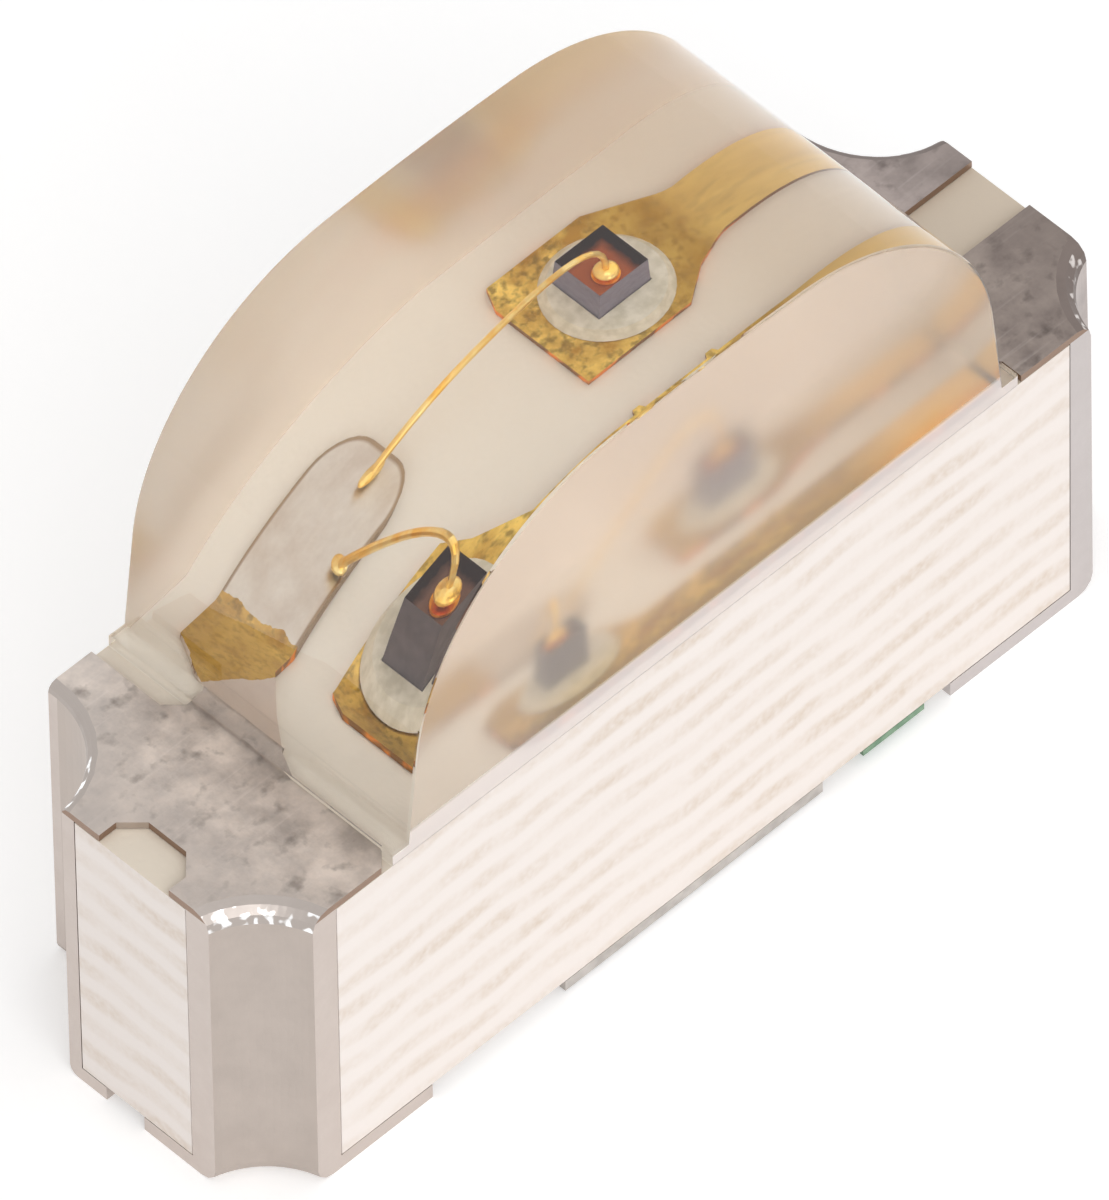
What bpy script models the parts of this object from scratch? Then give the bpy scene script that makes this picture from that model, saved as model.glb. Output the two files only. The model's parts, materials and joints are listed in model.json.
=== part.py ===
"""Two-colour side-view chip LED, about 3.0 x 1.0 x 1.9 mm, built in metres with +Z up.

The glass-cloth board lies flat, its long axis along X, with the clear epoxy lens on top.
Its four corners are quarter holes, sawn through and plated, and each plated corner runs
into a land above and a land below. Under the lens the etched conductors carry two dice in
silver-filled resin. A gold wire runs from each die to the common pad.
The origin is the centre of the face that the part rests on.
"""
import math

import bmesh
import bpy
from mathutils import Vector

# Board
BOARD_LENGTH = 0.003000
BOARD_WIDTH = 0.000970
BOARD_THICKNESS = 0.000930
RIGHT_END_LEAN = 0.000028  # the saw left the right end a little off square
RIGHT_END_LEAN_ZONE = 0.000360

# Plated corner holes. A centre lies this far beyond the sawn end (x) and the long side (y),
# as the saws cut a little off the holes' middle lines.
BACK_HOLE_RADIUS = 0.000275
BACK_HOLE_OFFSET = (0.000035, -0.000020)
BACK_WALL = 0.000042
BACK_RIM = 0.000028
FRONT_HOLE_RADIUS = 0.000255
FRONT_HOLE_OFFSET = (0.000070, 0.000070)
FRONT_WALL = 0.000075  # tin has pooled thicker on this side
FRONT_RIM = 0.000050

# Conductors on the top face
FOIL_THICKNESS = 0.000022
COMMON_LAND_FRONT = 0.000450
COMMON_LAND_MIDDLE = 0.000485
COMMON_LAND_BACK = 0.000385
COMMON_LAND_CHAMFER = 0.000045
COMMON_LAND_FRONT_STEP = -0.000135  # steps are measured from the board's middle line
COMMON_LAND_BACK_STEP = 0.000205
NOTCH_DEPTH = 0.000112
NOTCH_FROM_FRONT_HOLE = 0.000083
NOTCH_FROM_BACK_HOLE = 0.000101
NOTCH_CORNER = 0.000055
RIGHT_LAND_LENGTH = 0.000430
BACK_LAND_WIDTH = 0.000405
FRONT_LAND_WIDTH = 0.000368

# Common wire pad and the neck that feeds it
NECK_FRONT = -0.000065
NECK_KNEE_RUN = 0.000155
NECK_KNEE = 0.000022
NECK_WAIST_RUN = 0.000355
NECK_SPREAD_RUN = 0.000195
WIRE_PAD_END = -0.000160
WIRE_PAD_WIDTH = 0.000256
WIRE_PAD_OFFSET = 0.000240
WIRE_PAD_CORNER = 0.000085

# Dice, their pads and tracks; pads are measured from the middle of their die
BACK_DIE = (0.000303, 0.000178)
FRONT_DIE = (-0.000381, -0.000184)
BACK_DIE_SIZE = 0.000164
FRONT_DIE_SIZE = 0.000137
DIE_HEIGHT = 0.000150
DIE_TAPER = 0.000005
BACK_ATTACH_SHIFT = (0.000004, -0.000016)  # the beads spread a little unevenly
FRONT_ATTACH_SHIFT = (0.000021, -0.000011)
ATTACH_RADIUS = 0.000163
ATTACH_SHOULDER = 0.000020
ATTACH_HEIGHT = 0.000032
BOND_LINE = 0.000010
BACK_PAD_LEFT = 0.000216
BACK_PAD_FRONT = 0.000191
BACK_PAD_BACK = 0.000190
BACK_PAD_CORNER = 0.000050
BACK_FLARE_START = 0.000109
BACK_FLARE_END = 0.000304
BACK_TRACK_SHIFT = 0.000008
BACK_TRACK_WIDTH = 0.000182
FRONT_PAD_LEFT = 0.000229
FRONT_PAD_BACK = 0.000147
FRONT_PAD_CORNER = 0.000060
FRONT_PAD_SLOPE_START = 0.000166
FRONT_PAD_SLOPE_END = 0.000272
FRONT_TRACK_WIDTH = 0.000255
FRONT_TRACK_SETBACK = 0.000065
FRONT_TRACK_CORNER = 0.000070
ETCH_NUBS = ((0.000355, 0.000320), (0.000125, 0.000090))  # left by the etching on the track's edge
ETCH_NUB_DEPTH = 0.000014
BACK_CONTACT_SHIFT = (-0.000023, -0.000040)
FRONT_CONTACT_SHIFT = (-0.000027, -0.000027)
ELECTRODE_RADIUS = 0.000035
ELECTRODE_HEIGHT = 0.000006

# Gold bond wires
WIRE_RADIUS = 0.0000090
BALL_RADIUS = 0.000032
BALL_HEIGHT = 0.000034
STITCH_LENGTH = 0.000026
BACK_LOOP = (0.000360, 0.000260)  # rise over the ball, and height of the knee over the pad
FRONT_LOOP = (0.000245, 0.000190)
LOOP_KNEE = 0.50  # the knee's place, as a share of the way from stitch to ball
BACK_STITCH_FROM_END = 0.000045
BACK_STITCH_FROM_EDGE = 0.000110
FRONT_STITCH_FROM_END = 0.000180
FRONT_STITCH_FROM_EDGE = 0.000024
WIRE_STEPS = 16

# Underside: solder lands, a strip of resist and the polarity mark
UNDER_LAND_THICKNESS = 0.000050
LEFT_UNDER_LAND = 0.000560
RIGHT_UNDER_LAND = 0.000670
UNDER_LAND_GAP = 0.000130
RESIST_THICKNESS = 0.000035
RESIST_TO_LEFT_LAND = 0.000450
RESIST_TO_MARK = 0.000140
MARK_THICKNESS = 0.000020
MARK_LENGTH = 0.000210
MARK_TO_RIGHT_LAND = 0.000090

# Lens: an arch of three arcs over a straight, slightly drafted side
LENS_HALF_LENGTH = 0.001013
LENS_HEIGHT = 0.000956
LENS_DRAFT = 0.117
LENS_SHOULDER_RADIUS = 0.000693
LENS_CROWN_RADIUS = 0.006740
FLASH_WIDTH = 0.000045
FLASH_OVER_FOIL = 0.000015

CLEARANCE = 0.000003  # between pieces that touch on the real part
ARC_STEPS = 14
RIM_STEPS = 3
TURN_STEPS = 7
SHOULDER_STEPS = 18
CROWN_STEPS = 10
CUT_MARGIN = 0.000050  # how far a cutter runs past the face that it opens

LEFT = -BOARD_LENGTH / 2
RIGHT = BOARD_LENGTH / 2
FRONT = -BOARD_WIDTH / 2
BACK = BOARD_WIDTH / 2
BOARD_BOTTOM = UNDER_LAND_THICKNESS
BOARD_TOP = BOARD_BOTTOM + BOARD_THICKNESS
FOIL_BOTTOM = BOARD_TOP + CLEARANCE
FOIL_TOP = FOIL_BOTTOM + FOIL_THICKNESS
ATTACH_BOTTOM = FOIL_TOP + CLEARANCE
DIE_BOTTOM = ATTACH_BOTTOM + BOND_LINE + CLEARANCE
DIE_TOP = DIE_BOTTOM + DIE_HEIGHT
ELECTRODE_BOTTOM = DIE_TOP + CLEARANCE
ELECTRODE_TOP = ELECTRODE_BOTTOM + ELECTRODE_HEIGHT
BALL_CENTRE = ELECTRODE_TOP + CLEARANCE + BALL_HEIGHT / 2
FLASH_THICKNESS = FOIL_TOP + FLASH_OVER_FOIL - BOARD_TOP - CLEARANCE


def clear_scene():
    for obj in list(bpy.data.objects):
        bpy.data.objects.remove(obj, do_unlink=True)
    for col in list(bpy.data.collections):
        bpy.data.collections.remove(col)


def collection(name):
    col = bpy.data.collections.new(name)
    bpy.context.scene.collection.children.link(col)
    return col


def material(name, colour, roughness, metallic=0.0, transmission=0.0):
    mat = bpy.data.materials.new(name)
    mat.use_nodes = True
    shader = mat.node_tree.nodes["Principled BSDF"]
    shader.inputs["Base Color"].default_value = (*colour, 1.0)
    shader.inputs["Roughness"].default_value = roughness
    shader.inputs["Metallic"].default_value = metallic
    shader.inputs["Transmission Weight"].default_value = transmission
    return mat


def finish(bm, name, mat, col):
    """Close the mesh, point its faces outward and put it in the scene."""
    bmesh.ops.recalc_face_normals(bm, faces=bm.faces[:])
    if bm.calc_volume(signed=True) < 0:
        bmesh.ops.reverse_faces(bm, faces=bm.faces[:])
    mesh = bpy.data.meshes.new(name)
    bm.to_mesh(mesh)
    bm.free()
    obj = bpy.data.objects.new(name, mesh)
    if mat:
        mesh.materials.append(mat)
    col.objects.link(obj)
    return obj


def prism(name, outline, low, high, mat, col):
    """Extrude a flat outline (x, y) from one height to another."""
    bm = bmesh.new()
    base = bm.faces.new([bm.verts.new((x, y, low)) for x, y in outline])
    grown = bmesh.ops.extrude_face_region(bm, geom=[base])["geom"]
    top = [g for g in grown if isinstance(g, bmesh.types.BMVert)]
    bmesh.ops.translate(bm, verts=top, vec=(0, 0, high - low))
    return finish(bm, name, mat, col)


def cone(name, centre, low, high, radius_low, radius_high, mat, col, sides=40):
    bm = bmesh.new()
    bmesh.ops.create_cone(bm, cap_ends=True, segments=sides, radius1=radius_low,
                          radius2=radius_high, depth=high - low)
    bmesh.ops.translate(bm, verts=bm.verts[:], vec=(*centre, (low + high) / 2))
    return finish(bm, name, mat, col)


def blob(name, centre, size, turn, mat, col):
    """A squashed ball: size is its three half-lengths, turn its angle about Z."""
    bm = bmesh.new()
    bmesh.ops.create_uvsphere(bm, u_segments=20, v_segments=12, radius=1.0)
    bmesh.ops.scale(bm, verts=bm.verts[:], vec=size)
    for v in bm.verts:
        x, y, z = v.co
        v.co = (x * math.cos(turn) - y * math.sin(turn) + centre[0],
                x * math.sin(turn) + y * math.cos(turn) + centre[1], z + centre[2])
    return finish(bm, name, mat, col)


def tube(name, path, radius, mat, col):
    """A round wire along a path, as a curve with a bevel made into a closed mesh."""
    curve = bpy.data.curves.new(name, "CURVE")
    curve.dimensions = "3D"
    curve.bevel_depth = radius
    curve.bevel_resolution = 3
    curve.use_fill_caps = True
    spline = curve.splines.new("POLY")
    spline.points.add(len(path) - 1)
    for point, co in zip(spline.points, path):
        point.co = (*co, 1.0)
    source = bpy.data.objects.new(name + "_path", curve)
    col.objects.link(source)
    bpy.context.view_layer.update()
    mesh = bpy.data.meshes.new_from_object(source.evaluated_get(bpy.context.evaluated_depsgraph_get()))
    bpy.data.objects.remove(source, do_unlink=True)
    bm = bmesh.new()
    bm.from_mesh(mesh)
    bmesh.ops.remove_doubles(bm, verts=bm.verts[:], dist=1e-8)
    return finish(bm, name, mat, col)


def boolean(target, other, operation):
    mod = target.modifiers.new(other.name, "BOOLEAN")
    mod.operation = operation
    mod.object = other
    mod.solver = "EXACT"
    other.hide_render = True
    other.display_type = "WIRE"


def applied(obj):
    """Make the modifiers' result the object's own mesh."""
    bpy.context.view_layer.update()
    mesh = bpy.data.meshes.new_from_object(obj.evaluated_get(bpy.context.evaluated_depsgraph_get()))
    obj.modifiers.clear()
    obj.data = mesh
    return obj


def lean(obj):
    """Lean the right end in toward its top, as the saw left it."""
    start = RIGHT - RIGHT_END_LEAN_ZONE
    for v in obj.data.vertices:
        share = max(0.0, (v.co.x - start) / RIGHT_END_LEAN_ZONE)
        v.co.x -= RIGHT_END_LEAN * share * v.co.z / BOARD_TOP
    return obj


def corner(side_x, side_y, extra):
    """Arc of one quarter hole, from the end face to the long side. The extra radius counts
    from the plating's surface into the part."""
    radius = (BACK_HOLE_RADIUS if side_y > 0 else FRONT_HOLE_RADIUS) + extra
    past_end, past_side = BACK_HOLE_OFFSET if side_y > 0 else FRONT_HOLE_OFFSET
    cx = side_x * (BOARD_LENGTH / 2 + past_end)
    cy = side_y * (BOARD_WIDTH / 2 + past_side)
    first = math.asin(past_end / radius)
    last = math.acos(past_side / radius)
    points = []
    for i in range(ARC_STEPS + 1):
        a = first + (last - first) * i / ARC_STEPS
        points.append((cx - side_x * radius * math.sin(a), cy - side_y * radius * math.cos(a)))
    points[0] = (side_x * BOARD_LENGTH / 2, points[0][1])
    points[-1] = (points[-1][0], side_y * BOARD_WIDTH / 2)
    return points


def land_corner(side_x, side_y):
    """Where a land ends at its quarter hole: at the top of the rounded rim."""
    return corner(side_x, side_y, BACK_RIM if side_y > 0 else FRONT_RIM)


def grown(outline, distance):
    """The outline with every edge moved outward."""
    area = sum(x0 * y1 - x1 * y0 for (x0, y0), (x1, y1) in zip(outline, outline[1:] + outline[:1]))
    side = distance if area > 0 else -distance
    result = []
    for before, here, after in zip(outline[-1:] + outline[:-1], outline, outline[1:] + outline[:1]):
        a = (Vector(here) - Vector(before)).normalized()
        b = (Vector(after) - Vector(here)).normalized()
        na, nb = Vector((a.y, -a.x)), Vector((b.y, -b.x))
        mitre = (na + nb) / max(1.0 + na.dot(nb), 0.2)
        result.append((here[0] + side * mitre.x, here[1] + side * mitre.y))
    return result


def part_turn(centre_x, centre_y, radius, start, end):
    return [(centre_x + radius * math.cos(start + (end - start) * i / TURN_STEPS),
             centre_y + radius * math.sin(start + (end - start) * i / TURN_STEPS))
            for i in range(TURN_STEPS + 1)]


def board_outline():
    front, back = FRONT_WALL + CLEARANCE, BACK_WALL + CLEARANCE
    return (corner(-1, -1, front) + corner(1, -1, front)[::-1]
            + corner(1, 1, back) + corner(-1, 1, back)[::-1])


def plated_wall(name, side_x, side_y, mat, col):
    """The plating that lines one quarter hole, rounded over at both rims and sawn flush."""
    wall, rim = (BACK_WALL, BACK_RIM) if side_y > 0 else (FRONT_WALL, FRONT_RIM)
    behind = corner(side_x, side_y, wall)[::-1]
    levels = []
    for i in range(RIM_STEPS + 1):
        turn = math.pi / 2 * i / RIM_STEPS
        levels.append((rim * (1 - math.sin(turn)), rim * (1 - math.cos(turn))))
    levels += [(extra, FOIL_TOP - z) for extra, z in levels[::-1]]
    bm = bmesh.new()
    rings = [[bm.verts.new((x, y, z)) for x, y in corner(side_x, side_y, extra) + behind]
             for extra, z in levels]
    for low, high in zip(rings, rings[1:]):
        for a, b, c, d in zip(low, low[1:] + low[:1], high[1:] + high[:1], high):
            bm.faces.new((a, b, c, d))
    bm.faces.new(rings[0])
    bm.faces.new(rings[-1])
    return finish(bm, name, mat, col)


def under_land(name, side_x, side_y, length, mat, col):
    """A solder land on the underside, round one quarter hole."""
    inner_x = side_x * (BOARD_LENGTH / 2 - length)
    inner_y = side_y * UNDER_LAND_GAP / 2
    outline = land_corner(side_x, side_y) + [(inner_x, side_y * BOARD_WIDTH / 2), (inner_x, inner_y),
                                             (side_x * BOARD_LENGTH / 2, inner_y)]
    return prism(name, outline, 0.0, BOARD_BOTTOM - CLEARANCE, mat, col)


def common_foil():
    """Left land, neck and wire pad, drawn anticlockwise from the front corner."""
    front_arc, back_arc = land_corner(-1, -1), land_corner(-1, 1)
    half = WIRE_PAD_WIDTH / 2
    round_end = min(WIRE_PAD_CORNER, 0.98 * half)
    pad_front, pad_back = WIRE_PAD_OFFSET - half, WIRE_PAD_OFFSET + half
    middle = LEFT + COMMON_LAND_MIDDLE
    pts = front_arc[:]
    pts += [(LEFT + COMMON_LAND_FRONT - COMMON_LAND_CHAMFER, FRONT),
            (LEFT + COMMON_LAND_FRONT, FRONT + COMMON_LAND_CHAMFER),
            (LEFT + COMMON_LAND_FRONT, COMMON_LAND_FRONT_STEP),
            (middle, NECK_FRONT),
            (middle + NECK_KNEE_RUN, NECK_KNEE),
            (middle + NECK_WAIST_RUN, pad_front)]
    pts += part_turn(WIRE_PAD_END - round_end, pad_front + round_end, round_end, -math.pi / 2, 0.0)
    pts += part_turn(WIRE_PAD_END - round_end, pad_back - round_end, round_end, 0.0, math.pi / 2)
    pts += [(middle + NECK_SPREAD_RUN, pad_back),
            (middle, COMMON_LAND_BACK_STEP),
            (LEFT + COMMON_LAND_BACK + COMMON_LAND_CHAMFER, COMMON_LAND_BACK_STEP),
            (LEFT + COMMON_LAND_BACK, COMMON_LAND_BACK_STEP + COMMON_LAND_CHAMFER),
            (LEFT + COMMON_LAND_BACK, BACK)]
    pts += back_arc[::-1]
    low = front_arc[0][1] + NOTCH_FROM_FRONT_HOLE
    high = back_arc[0][1] - NOTCH_FROM_BACK_HOLE
    round_off = min(NOTCH_CORNER, 0.45 * (high - low))
    pts += [(LEFT, high),
            (LEFT + NOTCH_DEPTH - round_off, high),
            (LEFT + NOTCH_DEPTH, high - round_off),
            (LEFT + NOTCH_DEPTH, low + round_off),
            (LEFT + NOTCH_DEPTH - round_off, low),
            (LEFT, low)]
    return pts


def back_foil():
    """Back die pad, its track and the back right land, drawn anticlockwise from the front left."""
    x, y = BACK_DIE
    x0, y0, y1 = x - BACK_PAD_LEFT, y - BACK_PAD_FRONT, y + BACK_PAD_BACK
    low = y + BACK_TRACK_SHIFT - BACK_TRACK_WIDTH / 2
    high = low + BACK_TRACK_WIDTH
    land, land_front = RIGHT - RIGHT_LAND_LENGTH, BACK - BACK_LAND_WIDTH
    pts = [(x0, y0), (x + BACK_FLARE_START, y0),
           (x + (BACK_FLARE_START + BACK_FLARE_END) / 2, 0.35 * y0 + 0.65 * low),
           (x + BACK_FLARE_END, low), (land, low), (land, land_front), (RIGHT, land_front)]
    pts += land_corner(1, 1)
    pts += [(land, BACK), (land, high), (x + BACK_FLARE_END, high), (x + BACK_FLARE_START, y1),
            (x0 + 0.6 * BACK_PAD_CORNER, y1), (x0, y1 - 1.3 * BACK_PAD_CORNER)]
    return pts


def front_foil():
    """Front die pad, its track along the front side and the front right land."""
    x, y = FRONT_DIE
    x0, y1 = x - FRONT_PAD_LEFT, y + FRONT_PAD_BACK
    low = FRONT + FRONT_TRACK_SETBACK
    high = low + FRONT_TRACK_WIDTH
    land, land_back = RIGHT - RIGHT_LAND_LENGTH, FRONT + FRONT_LAND_WIDTH
    pts = [(x0, low + FRONT_TRACK_CORNER), (x0 + FRONT_TRACK_CORNER, low), (land, low), (land, FRONT)]
    pts += land_corner(1, -1)[::-1]
    pts += [(RIGHT, land_back), (land, land_back), (land, high)]
    for start, end in ETCH_NUBS:
        soft = 0.2 * (start - end)
        pts += [(start, high), (start - soft, high + ETCH_NUB_DEPTH),
                (end + soft, high + ETCH_NUB_DEPTH), (end, high)]
    pts += [(x + FRONT_PAD_SLOPE_END, high),
            (x + 0.7 * FRONT_PAD_SLOPE_START + 0.3 * FRONT_PAD_SLOPE_END, 0.55 * y1 + 0.45 * high),
            (x + FRONT_PAD_SLOPE_START, y1), (x0 + FRONT_PAD_CORNER, y1), (x0, y1 - FRONT_PAD_CORNER)]
    return pts


def terminal(name, foil, corners, under_length, mat, col, cutters):
    """One conductor: top foil, plated corners and the lands below, in one piece."""
    obj = prism(name, foil, FOIL_BOTTOM, FOIL_TOP, mat, col)
    for side_x, side_y in corners:
        tag = f"{name}_{'back' if side_y > 0 else 'front'}"
        boolean(obj, plated_wall(tag + "_wall", side_x, side_y, mat, cutters), "UNION")
        boolean(obj, under_land(tag + "_land", side_x, side_y, under_length, mat, cutters), "UNION")
    return lean(applied(obj))


def die_body(name, centre, size, mat, col, extra=0.0):
    """A sawn die, a little wider at its foot."""
    foot = size / 2 + extra
    head = foot - DIE_TAPER
    bm = bmesh.new()
    bmesh.ops.create_cube(bm, size=1.0)
    for v in bm.verts:
        half = foot if v.co.z < 0 else head
        high = DIE_TOP + extra if v.co.z > 0 else DIE_BOTTOM - extra
        v.co = (centre[0] + math.copysign(half, v.co.x), centre[1] + math.copysign(half, v.co.y), high)
    return finish(bm, name, mat, col)


def shifted(point, shift):
    return point[0] + shift[0], point[1] + shift[1]


def attach(name, die, size, shift, mat, col, cutters):
    """The bead of silver-filled resin that the die is pressed into."""
    bead = cone(name, shifted(die, shift), ATTACH_BOTTOM, ATTACH_BOTTOM + ATTACH_HEIGHT, ATTACH_RADIUS,
                ATTACH_RADIUS - ATTACH_SHOULDER, mat, col)
    boolean(bead, die_body(name + "_seat", die, size, None, cutters, CLEARANCE), "DIFFERENCE")
    return bead


def wire_path(contact, loop, stitch):
    """A loop that leaves the ball upright and comes down on the wire pad at a slant."""
    rise, knee_height = loop
    start = Vector((*contact, BALL_CENTRE))
    end = Vector((*stitch, FOIL_TOP + CLEARANCE + WIRE_RADIUS))
    knee = end.lerp(Vector((*contact, end.z + knee_height / LOOP_KNEE)), LOOP_KNEE)
    knots = [start, start + Vector((0, 0, rise)), knee, end]
    path = []
    for i in range(WIRE_STEPS + 1):
        t = i / WIRE_STEPS
        weights = ((1 - t) ** 3, 3 * t * (1 - t) ** 2, 3 * t * t * (1 - t), t ** 3)
        path.append(sum((k * w for k, w in zip(knots, weights)), Vector()))
    return path


def wire_pieces(name, contact, loop_size, stitch, mat, col, extra=0.0):
    """Ball, loop and stitch, each as its own mesh."""
    turn = math.atan2(stitch[1] - contact[1], stitch[0] - contact[0])
    ball = blob(name, (*contact, BALL_CENTRE),
                (BALL_RADIUS + extra, BALL_RADIUS + extra, BALL_HEIGHT / 2 + extra), 0.0, mat, col)
    loop = tube(name + "_loop", wire_path(contact, loop_size, stitch), WIRE_RADIUS + extra, mat, col)
    toe = blob(name + "_toe", (*stitch, FOIL_TOP + CLEARANCE + WIRE_RADIUS),
               (STITCH_LENGTH + extra, WIRE_RADIUS * 1.6 + extra, WIRE_RADIUS + extra), turn, mat, col)
    return ball, loop, toe


def bond_wire(name, contact, loop_size, stitch, mat, col, cutters):
    ball, loop, toe = wire_pieces(name, contact, loop_size, stitch, mat, col)
    for piece in (loop, toe):
        col.objects.unlink(piece)
        cutters.objects.link(piece)
        boolean(ball, piece, "UNION")
    return applied(ball)


def lens_profile():
    """The arch (x, z): straight drafted sides, shoulder arcs and a nearly flat crown."""
    slope = math.hypot(1.0, LENS_DRAFT)
    nx, nz = 1.0 / slope, LENS_DRAFT / slope
    base = BOARD_TOP + CLEARANCE

    def shoulder(height):
        return LENS_HALF_LENGTH - (LENS_SHOULDER_RADIUS + height * nz) / nx

    low, high = -LENS_HEIGHT, LENS_HEIGHT - LENS_SHOULDER_RADIUS
    reach = LENS_CROWN_RADIUS - LENS_SHOULDER_RADIUS
    for _ in range(60):  # halve the range until the shoulder arc touches the crown arc
        middle = (low + high) / 2
        if math.hypot(shoulder(middle), middle - LENS_HEIGHT + LENS_CROWN_RADIUS) < reach:
            low = middle
        else:
            high = middle
    cz = (low + high) / 2
    cx = shoulder(cz)
    side = math.atan2(nx, nz)
    meet = math.atan2(cx, cz - LENS_HEIGHT + LENS_CROWN_RADIUS)
    right = [(LENS_HALF_LENGTH + FLASH_WIDTH, 0.0), (LENS_HALF_LENGTH + FLASH_WIDTH, FLASH_THICKNESS),
             (LENS_HALF_LENGTH - FLASH_THICKNESS * LENS_DRAFT, FLASH_THICKNESS)]
    for i in range(SHOULDER_STEPS + 1):
        a = side + (meet - side) * i / SHOULDER_STEPS
        right.append((cx + LENS_SHOULDER_RADIUS * math.sin(a), cz + LENS_SHOULDER_RADIUS * math.cos(a)))
    for i in range(1, CROWN_STEPS + 1):
        a = meet * (1 - i / CROWN_STEPS)
        right.append((LENS_CROWN_RADIUS * math.sin(a),
                      LENS_HEIGHT - LENS_CROWN_RADIUS + LENS_CROWN_RADIUS * math.cos(a)))
    arch = right + [(-x, z) for x, z in right[-2::-1]]
    return [(x, z + base) for x, z in arch]


def lens(mat, col, cutters, foils, chips):
    """The arch run from the front side to the back, hollowed where it was cast round the parts."""
    bm = bmesh.new()
    face = bm.faces.new([bm.verts.new((x, FRONT, z)) for x, z in lens_profile()])
    run = bmesh.ops.extrude_face_region(bm, geom=[face])["geom"]
    bmesh.ops.translate(bm, verts=[g for g in run if isinstance(g, bmesh.types.BMVert)],
                        vec=(0, BOARD_WIDTH, 0))
    body = finish(bm, "lens", mat, col)
    floor = BOARD_TOP - CUT_MARGIN
    for i, foil in enumerate(foils):
        outline = grown(foil, CLEARANCE)
        cutter = prism(f"lens_foil_{i}", outline, floor, FOIL_TOP + CLEARANCE, None, cutters)
        boolean(body, cutter, "DIFFERENCE")
    for tag, die, size, shift, contact, loop_size, stitch in chips:
        bead = cone(f"lens_{tag}_bead", shifted(die, shift), ATTACH_BOTTOM - CLEARANCE,
                    ATTACH_BOTTOM + ATTACH_HEIGHT + CLEARANCE, ATTACH_RADIUS + 2 * CLEARANCE,
                    ATTACH_RADIUS - ATTACH_SHOULDER + CLEARANCE, None, cutters)
        chip = die_body(f"lens_{tag}_die", die, size, None, cutters, CLEARANCE)
        metal = cone(f"lens_{tag}_electrode", contact, DIE_TOP, ELECTRODE_TOP + CLEARANCE,
                     ELECTRODE_RADIUS + CLEARANCE, ELECTRODE_RADIUS + CLEARANCE, None, cutters)
        wire = wire_pieces(f"lens_{tag}_wire", contact, loop_size, stitch, None, cutters, CLEARANCE)
        for cutter in (bead, chip, metal, *wire):
            boolean(body, cutter, "DIFFERENCE")
    return applied(body)


def main():
    clear_scene()
    col = collection("smd_led")
    cutters = collection("smd_led_cutters")

    laminate = material("laminate", (0.80, 0.75, 0.68), 0.65)
    tin = material("tin", (0.50, 0.47, 0.44), 0.45, 1.0)
    silver_resin = material("silver_resin", (0.55, 0.54, 0.50), 0.5, 0.6)
    crystal = material("crystal", (0.10, 0.10, 0.11), 0.3)
    gold = material("gold", (0.83, 0.58, 0.20), 0.3, 1.0)
    resist = material("resist", (0.72, 0.70, 0.66), 0.5)
    green_ink = material("green_ink", (0.18, 0.42, 0.26), 0.5)
    epoxy = material("epoxy", (0.93, 0.86, 0.78), 0.08, 0.0, 0.9)

    board = prism("board", board_outline(), BOARD_BOTTOM, BOARD_TOP, laminate, col)
    lean(board)

    foils = common_foil(), back_foil(), front_foil()
    terminal("common_terminal", foils[0], [(-1, -1), (-1, 1)], LEFT_UNDER_LAND, tin, col, cutters)
    terminal("back_terminal", foils[1], [(1, 1)], RIGHT_UNDER_LAND, tin, col, cutters)
    terminal("front_terminal", foils[2], [(1, -1)], RIGHT_UNDER_LAND, tin, col, cutters)

    pad_edge = WIRE_PAD_OFFSET - WIRE_PAD_WIDTH / 2
    stitches = ((WIRE_PAD_END - BACK_STITCH_FROM_END, pad_edge + BACK_STITCH_FROM_EDGE),
                (WIRE_PAD_END - FRONT_STITCH_FROM_END, pad_edge + FRONT_STITCH_FROM_EDGE))
    chips = (("back", BACK_DIE, BACK_DIE_SIZE, BACK_ATTACH_SHIFT,
              shifted(BACK_DIE, BACK_CONTACT_SHIFT), BACK_LOOP, stitches[0]),
             ("front", FRONT_DIE, FRONT_DIE_SIZE, FRONT_ATTACH_SHIFT,
              shifted(FRONT_DIE, FRONT_CONTACT_SHIFT), FRONT_LOOP, stitches[1]))
    for tag, die, size, shift, contact, loop_size, stitch in chips:
        attach(f"{tag}_die_attach", die, size, shift, silver_resin, col, cutters)
        die_body(f"{tag}_die", die, size, crystal, col)
        cone(f"{tag}_die_electrode", contact, ELECTRODE_BOTTOM, ELECTRODE_TOP, ELECTRODE_RADIUS,
             ELECTRODE_RADIUS, gold, col, 24)
        bond_wire(f"{tag}_bond_wire", contact, loop_size, stitch, gold, col, cutters)

    under = BOARD_BOTTOM - CLEARANCE
    mark_end = RIGHT - RIGHT_UNDER_LAND - MARK_TO_RIGHT_LAND
    mark_start = mark_end - MARK_LENGTH
    resist_start = LEFT + LEFT_UNDER_LAND + RESIST_TO_LEFT_LAND
    for name, x0, x1, thickness, mat in (
            ("underside_resist", resist_start, mark_start - RESIST_TO_MARK, RESIST_THICKNESS, resist),
            ("polarity_mark", mark_start, mark_end, MARK_THICKNESS, green_ink)):
        prism(name, [(x0, FRONT), (x1, FRONT), (x1, BACK), (x0, BACK)], under - thickness, under, mat, col)

    lens(epoxy, col, cutters, foils, chips)


main()
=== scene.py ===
# %% [markdown]
# # A two-colour side-view LED chip
#
# The real part is three millimetres long. A sawn bar of white glass-cloth laminate carries
# etched and plated conductors, two tiny dice in silver-filled resin and two gold wires,
# and clear epoxy is cast over them as an arch with flat sawn ends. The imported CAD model
# already has all the pieces at their true size, so this lesson keeps those shapes, gives
# each one its finish, and makes only the lens again, because clear glass-like bodies need
# to be solid where the CAD model leaves clearances.
#
# Everything is in metres, with +Z up and the long axis along X.

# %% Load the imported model
import json
import math

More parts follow.
